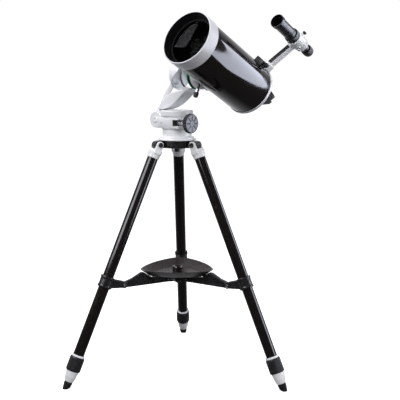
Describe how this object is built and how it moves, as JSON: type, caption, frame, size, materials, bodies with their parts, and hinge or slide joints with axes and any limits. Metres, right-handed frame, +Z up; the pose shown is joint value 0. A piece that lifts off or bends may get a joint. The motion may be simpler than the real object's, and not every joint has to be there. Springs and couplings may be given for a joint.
{
  "type": "maksutov telescope",
  "caption": "Compact catadioptric telescope with a finder on a one-armed altazimuth head and an aluminium tripod with an accessory tray.",
  "frame": {"origin": "centre of the footprint box on the floor, at rest", "axes": "+Z up; +X to the right and -Y towards the viewer of the usual front view; the tube points to -X, -Y and up"},
  "size_m": [0.721, 0.7044, 1.0523],
  "materials": {
    "white_paint": "smooth satin white enamel on cast aluminium",
    "gloss_black_paint": "high gloss black paint on an aluminium tube",
    "black_plastic": "satin moulded black plastic",
    "black_anodised": "gloss black tube",
    "rubber": "moulded rubber",
    "steel": "bright plated steel",
    "green_anodised": "green anodised",
    "grey_plastic": "grey rubberised plastic",
    "glass": "coated optical glass",
    "mirror": "aluminised glass",
    "aluminium": "drawn aluminium, white enamelled cap"
  },
  "bodies": {
    "tripod_head": {"tripod_hub": "black_plastic", "azimuth_base": "white_paint"},
    "centre_knob": {"centre_lock_knob": "black_plastic"},
    "leg_1": {"leg_bracket_1": "white_paint", "leg_pivot_bolt_1": "black_plastic", "leg_tube_1": "black_anodised", "leg_collar_1": "black_plastic"},
    "grip_1": {"twist_grip_1": "black_plastic"},
    "lower_leg_1": {"leg_inner_1": "aluminium", "foot_tip_1": "rubber"},
    "spreader_arm_1": {"spreader_arm_1": "black_plastic"},
    "leg_2": {"leg_bracket_2": "white_paint", "leg_pivot_bolt_2": "black_plastic", "leg_tube_2": "black_anodised", "leg_collar_2": "black_plastic"},
    "grip_2": {"twist_grip_2": "black_plastic"},
    "lower_leg_2": {"leg_inner_2": "aluminium", "foot_tip_2": "rubber"},
    "spreader_arm_2": {"spreader_arm_2": "black_plastic"},
    "leg_3": {"leg_bracket_3": "white_paint", "leg_pivot_bolt_3": "black_plastic", "leg_tube_3": "black_anodised", "leg_collar_3": "black_plastic"},
    "grip_3": {"twist_grip_3": "black_plastic"},
    "lower_leg_3": {"leg_inner_3": "aluminium", "foot_tip_3": "rubber"},
    "spreader_arm_3": {"spreader_arm_3": "black_plastic"},
    "spreader": {"spreader_hub": "black_plastic", "accessory_tray": "black_plastic"},
    "tray_knob": {"tray_knob": "black_plastic"},
    "azimuth_head": {"azimuth_housing": "white_paint", "azimuth_disc": "white_paint", "tilt_bolt": "white_paint"},
    "azimuth_knob": {"azimuth_worm_shaft": "steel", "azimuth_knob": "black_plastic"},
    "arm": {"altitude_arm": "white_paint", "altitude_housing": "white_paint", "altitude_ring": "green_anodised"},
    "altitude_knob": {"altitude_worm_shaft": "steel", "altitude_knob": "black_plastic"},
    "saddle": {"saddle": "white_paint"},
    "clamp_jaw": {"clamp_jaw": "black_plastic"},
    "saddle_screw": {"saddle_screw": "steel"},
    "optical_tube": {"dovetail_bar": "black_anodised", "tube": "gloss_black_paint", "front_cell": "white_paint", "corrector_lens": "glass", "rear_cell": "white_paint", "baffle_tube": "black_plastic", "finder_shoe": "black_plastic", "finder_bracket": "white_paint"},
    "diagonal": {"star_diagonal": "grey_plastic"},
    "primary_mirror": {"primary_mirror": "mirror"},
    "focus_knob": {"focus_knob": "grey_plastic"},
    "shoe_screw": {"shoe_screw": "black_plastic"},
    "finder": {"finder_tube": "black_anodised", "finder_eyepiece": "black_plastic"},
    "finder_objective": {"finder_objective": "black_anodised"},
    "finder_screw_1": {"finder_screw_1": "black_plastic"},
    "finder_screw_2": {"finder_screw_2": "black_plastic"}
  },
  "joints": [
    {"name": "centre_knob_turn", "type": "hinge", "parent": "tripod_head", "child": "centre_knob", "pos_m": [-0.02978, -0.0171, 0.69], "axis": [0, 0, 1], "range_deg": [0, 720]},
    {"name": "leg_fold_1", "type": "hinge", "parent": "tripod_head", "child": "leg_1", "pos_m": [-0.02638, 0.04581, 0.687], "axis": [-0.9985, 0.0541, 0], "range_deg": [0, 6]},
    {"name": "grip_1_twist", "type": "hinge", "parent": "leg_1", "child": "grip_1", "pos_m": [-0.01193, 0.31248, 0.06926], "axis": [0.0215, 0.3962, -0.9179], "range_deg": [0, 120]},
    {"name": "leg_1_extension", "type": "slide", "parent": "leg_1", "child": "lower_leg_1", "axis": [0.0215, 0.3962, -0.9179], "range_m": [0, 0.35]},
    {"name": "spreader_arm_1_fold", "type": "hinge", "parent": "leg_1", "child": "spreader_arm_1", "pos_m": [-0.02021, 0.15964, 0.2835], "axis": [-0.9985, 0.0541, 0], "range_deg": [0, 39.74]},
    {"name": "leg_fold_2", "type": "hinge", "parent": "tripod_head", "child": "leg_2", "pos_m": [-0.08597, -0.0456, 0.687], "axis": [0.4524, -0.8918, 0], "range_deg": [0, 6]},
    {"name": "grip_2_twist", "type": "hinge", "parent": "leg_2", "child": "grip_2", "pos_m": [-0.32413, -0.16643, 0.06926], "axis": [-0.3539, -0.1795, -0.9179], "range_deg": [0, 120]},
    {"name": "leg_2_extension", "type": "slide", "parent": "leg_2", "child": "lower_leg_2", "axis": [-0.3539, -0.1795, -0.9179], "range_m": [0, 0.35]},
    {"name": "spreader_arm_2_fold", "type": "hinge", "parent": "leg_2", "child": "spreader_arm_2", "pos_m": [-0.18763, -0.09718, 0.2835], "axis": [0.4524, -0.8918, 0], "range_deg": [0, 39.74]},
    {"name": "leg_fold_3", "type": "hinge", "parent": "tripod_head", "child": "leg_3", "pos_m": [0.02299, -0.0515, 0.687], "axis": [0.5461, 0.8377, 0], "range_deg": [0, 6]},
    {"name": "grip_3_twist", "type": "hinge", "parent": "leg_3", "child": "grip_3", "pos_m": [0.24671, -0.19734, 0.06926], "axis": [0.3324, -0.2167, -0.9179], "range_deg": [0, 120]},
    {"name": "leg_3_extension", "type": "slide", "parent": "leg_3", "child": "lower_leg_3", "axis": [0.3324, -0.2167, -0.9179], "range_m": [0, 0.35]},
    {"name": "spreader_arm_3_fold", "type": "hinge", "parent": "leg_3", "child": "spreader_arm_3", "pos_m": [0.11849, -0.11376, 0.2835], "axis": [0.5461, 0.8377, 0], "range_deg": [0, 39.74]},
    {"name": "spreader_rise", "type": "slide", "parent": "tripod_head", "child": "spreader", "axis": [0, 0, 1], "range_m": [0, 0.0921]},
    {"name": "tray_knob_turn", "type": "hinge", "parent": "spreader", "child": "tray_knob", "pos_m": [-0.02978, -0.0171, 0.3], "axis": [0, 0, 1], "range_deg": [0, 720]},
    {"name": "azimuth", "type": "hinge", "parent": "tripod_head", "child": "azimuth_head", "pos_m": [-0.02978, -0.0171, 0.731], "axis": [0, 0, 1], "continuous": true},
    {"name": "azimuth_knob_turn", "type": "hinge", "parent": "azimuth_head", "child": "azimuth_knob", "pos_m": [-0.00425, -0.07819, 0.751], "axis": [0.7396, -0.673, 0], "continuous": true},
    {"name": "arm_tilt", "type": "hinge", "parent": "azimuth_head", "child": "arm", "pos_m": [-0.07564, 0.02463, 0.757], "axis": [-0.673, -0.7396, 0], "range_deg": [0, 35]},
    {"name": "altitude", "type": "hinge", "parent": "arm", "child": "saddle", "pos_m": [-0.02978, -0.0171, 0.888], "axis": [-0.7396, 0.673, 0], "range_deg": [-57.3, 62.7]},
    {"name": "altitude_knob_turn", "type": "hinge", "parent": "arm", "child": "altitude_knob", "pos_m": [0.04166, -0.00099, 0.918], "axis": [0.673, 0.7396, 0], "range_deg": [-4125.6, 4514.4]},
    {"name": "saddle_screw_turn", "type": "hinge", "parent": "saddle", "child": "saddle_screw", "pos_m": [0.02925, -0.11864, 0.84999], "axis": [-0.3087, -0.3392, -0.8886], "range_deg": [0, 1440]},
    {"name": "clamp_jaw_slide", "type": "slide", "parent": "saddle", "child": "clamp_jaw", "axis": [-0.3087, -0.3392, -0.8886], "range_m": [0, 0.0028]},
    {"name": "dovetail_slide", "type": "slide", "parent": "saddle", "child": "optical_tube", "axis": [0.5981, 0.6572, -0.4586], "range_m": [-0.025, 0.045]},
    {"name": "focus_knob_turn", "type": "hinge", "parent": "optical_tube", "child": "focus_knob", "pos_m": [0.17199, -0.04498, 0.87132], "axis": [0.5981, 0.6572, -0.4586], "range_deg": [-3600, 3600]},
    {"name": "mirror_focus", "type": "slide", "parent": "optical_tube", "child": "primary_mirror", "axis": [-0.5981, -0.6572, 0.4586], "range_m": [-0.0075, 0.0075]},
    {"name": "diagonal_turn", "type": "hinge", "parent": "optical_tube", "child": "diagonal", "pos_m": [0.19136, -0.08016, 0.83525], "axis": [0.5981, 0.6572, -0.4586], "range_deg": [-180, 180]},
    {"name": "shoe_screw_turn", "type": "hinge", "parent": "optical_tube", "child": "shoe_screw", "pos_m": [0.21501, -0.14504, 0.91647], "axis": [0.4522, -0.7492, -0.484], "range_deg": [0, 1080]},
    {"name": "finder_screw_1_turn", "type": "hinge", "parent": "optical_tube", "child": "finder_screw_1", "pos_m": [0.30805, -0.10486, 0.98253], "axis": [0.6617, -0.082, 0.7453], "range_deg": [-360, 360]},
    {"name": "finder_screw_2_turn", "type": "hinge", "parent": "optical_tube", "child": "finder_screw_2", "pos_m": [0.30805, -0.10486, 0.98253], "axis": [-0.7225, 0.6898, 0.0465], "range_deg": [-360, 360]},
    {"name": "finder_aim", "type": "hinge", "parent": "optical_tube", "child": "finder", "pos_m": [0.30805, -0.10486, 0.98253], "axis": [0.6617, -0.082, 0.7453], "range_deg": [-1.5, 1.5]},
    {"name": "finder_focus", "type": "hinge", "parent": "finder", "child": "finder_objective", "pos_m": [0.26559, -0.15153, 1.01509], "axis": [0.5981, 0.6572, -0.4586], "range_deg": [-360, 360]}
  ],
  "couplings": [
    {"joint": "spreader_arm_1_fold", "follows": "leg_fold_1", "ratio": 6.6145},
    {"joint": "leg_fold_2", "follows": "leg_fold_1", "ratio": 1},
    {"joint": "spreader_arm_2_fold", "follows": "leg_fold_1", "ratio": 6.6145},
    {"joint": "leg_fold_3", "follows": "leg_fold_1", "ratio": 1},
    {"joint": "spreader_arm_3_fold", "follows": "leg_fold_1", "ratio": 6.6145},
    {"joint": "spreader_rise", "follows": "leg_fold_1", "m_per_rad": 0.87758},
    {"joint": "azimuth_knob_turn", "follows": "azimuth", "ratio": 72},
    {"joint": "altitude_knob_turn", "follows": "altitude", "ratio": 72},
    {"joint": "clamp_jaw_slide", "follows": "saddle_screw_turn", "m_per_rad": 0.00011141},
    {"joint": "mirror_focus", "follows": "focus_knob_turn", "m_per_rad": 0.00011937},
    {"joint": "finder_aim", "follows": "finder_screw_1_turn", "ratio": 0.0041667}
  ]
}
